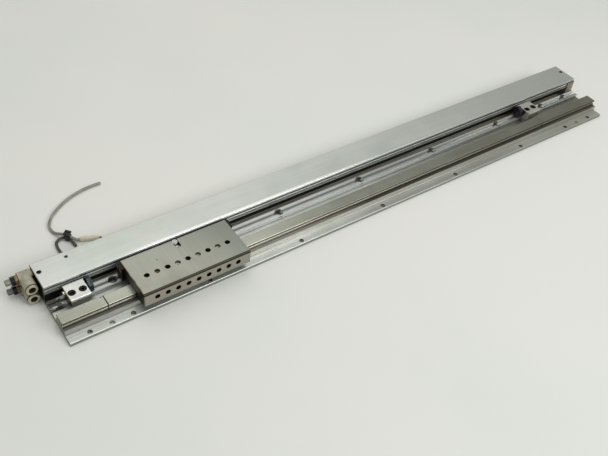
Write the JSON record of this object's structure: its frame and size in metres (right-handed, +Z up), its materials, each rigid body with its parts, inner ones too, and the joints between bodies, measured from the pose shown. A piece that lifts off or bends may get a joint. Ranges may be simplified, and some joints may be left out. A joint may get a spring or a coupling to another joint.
{
  "type": "pneumatic slide table",
  "caption": "Long-stroke pneumatic slide table: a magnet-coupled rodless cylinder under a long cover drives a short steel table on a narrow ball guide beside it.",
  "frame": {"origin": "centre of the base's underside, at the middle of its length and width", "axes": "+X along the stroke, from the air fittings' end to the far end; +Z up out of the table's top face; -Y out of the guide side with the mounting flange"},
  "size_m": [0.6895, 0.1745, 0.025],
  "materials": {
    "extrusion": "clear anodised extrusion, satin",
    "cover": "pale anodised extrusion, satin",
    "ground_steel": "hardened and ground, oily",
    "table_steel": "ground steel with fine scratches",
    "black_screws": "black oxide",
    "bright_screws": "zinc plated",
    "black_anodised": "black anodised",
    "head_grey": "machined, satin",
    "stainless": "polished stainless",
    "seal_rubber": "matte",
    "plated_steel": "nickel plated, bright",
    "fitting_resin": "cream moulded resin",
    "tan_brass": "nickel-worn brass",
    "black_nuts": "black plated",
    "knob_light": "nickel plated",
    "knob_dark": "dark plated",
    "ring_ivory": "ivory moulded resin",
    "switch_grey": "dark moulded resin",
    "switch_cream": "cream moulded resin",
    "lead_grey": "soft grey sheath",
    "tie_black": "black nylon",
    "dark_resin": "dark moulded resin",
    "ball_steel": "polished bearing steel",
    "yellow_zinc": "yellow zinc plated",
    "bright_pin": "bright plated",
    "magnet": "nickel-coated magnet",
    "pole_iron": "plain iron",
    "wear_resin": "filled bearing resin",
    "bumper_teal": "dark teal urethane",
    "bumper_violet": "violet-black urethane"
  },
  "bodies": {
    "base_unit": {"base": "extrusion", "guide_rail": "ground_steel", "rail_end_left": "ground_steel", "rail_end_right": "ground_steel", "rail_screws": "black_screws", "tube_cover": "cover", "cover_screws": "black_screws", "head_cover_left": "black_anodised", "head_cover_right": "head_grey", "head_screws": "black_screws", "cylinder_tube": "stainless", "tube_seals": "seal_rubber", "end_bumpers": "seal_rubber", "air_pipe": "extrusion", "stopper_holder_left": "plated_steel", "stopper_holder_right": "plated_steel", "holder_clamps": "plated_steel", "holder_screws": "black_screws", "elbow_upper": "fitting_resin", "elbow_lower": "fitting_resin", "elbow_stems": "tan_brass", "elbow_gaskets": "seal_rubber", "needle_lock_nuts": "black_nuts", "mounted_switch": "switch_grey", "mounted_switch_lead": "lead_grey", "loose_switch": "switch_cream", "loose_switch_lead": "lead_grey", "cable_tie": "tie_black"},
    "carriage": {"table": "table_steel", "return_plate_left": "dark_resin", "return_plate_right": "dark_resin", "end_seal_left": "seal_rubber", "end_seal_right": "seal_rubber", "end_plate_screws": "bright_screws", "guide_balls": "ball_steel", "stop_plate_left": "black_anodised", "stop_plate_right": "black_anodised", "stop_plate_screws": "yellow_zinc", "coupling_bracket": "black_anodised", "coupling_pin": "bright_pin", "coupling_screws": "bright_screws", "slider_body": "extrusion", "outer_magnets": "magnet", "outer_poles": "pole_iron", "slider_wear_rings": "wear_resin"},
    "piston": {"piston_shaft": "stainless", "inner_magnets": "magnet", "inner_poles": "pole_iron", "piston_heads": "extrusion", "piston_seals": "seal_rubber"},
    "stopper_left": {"stopper_bolt_left": "plated_steel", "bumper_left": "bumper_teal"},
    "stopper_right": {"stopper_bolt_right": "plated_steel", "bumper_right": "bumper_violet"},
    "needle_upper": {"needle_knob_upper": "knob_light"},
    "needle_lower": {"needle_knob_lower": "knob_dark"},
    "release_upper": {"release_ring_upper": "ring_ivory"},
    "release_lower": {"release_ring_lower": "ring_ivory"}
  },
  "joints": [
    {"name": "table_slide", "type": "slide", "parent": "base_unit", "child": "carriage", "axis": [1, 0, 0], "range_m": [-0.0253, 0.3859]},
    {"name": "piston_slide", "type": "slide", "parent": "base_unit", "child": "piston", "axis": [1, 0, 0], "range_m": [-0.0253, 0.3859]},
    {"name": "stopper_left_adjust", "type": "slide", "parent": "base_unit", "child": "stopper_left", "axis": [-1, 0, 0], "range_m": [0, 0.0014]},
    {"name": "stopper_right_adjust", "type": "slide", "parent": "base_unit", "child": "stopper_right", "axis": [1, 0, 0], "range_m": [0, 0.0014]},
    {"name": "needle_upper_turn", "type": "hinge", "parent": "base_unit", "child": "needle_upper", "pos_m": [-0.34, 0.0348, 0.0178], "axis": [1, 0, 0], "range_deg": [0, 2880]},
    {"name": "needle_lower_turn", "type": "hinge", "parent": "base_unit", "child": "needle_lower", "pos_m": [-0.34, 0.0348, 0.0064], "axis": [1, 0, 0], "range_deg": [0, 2880]},
    {"name": "release_upper_push", "type": "slide", "parent": "base_unit", "child": "release_upper", "axis": [0, 1, 0], "range_m": [0, 0.001], "stiffness_N_per_m": 500},
    {"name": "release_lower_push", "type": "slide", "parent": "base_unit", "child": "release_lower", "axis": [0, 1, 0], "range_m": [0, 0.001], "stiffness_N_per_m": 500}
  ],
  "couplings": [
    {"joint": "piston_slide", "follows": "table_slide", "ratio": 1}
  ]
}
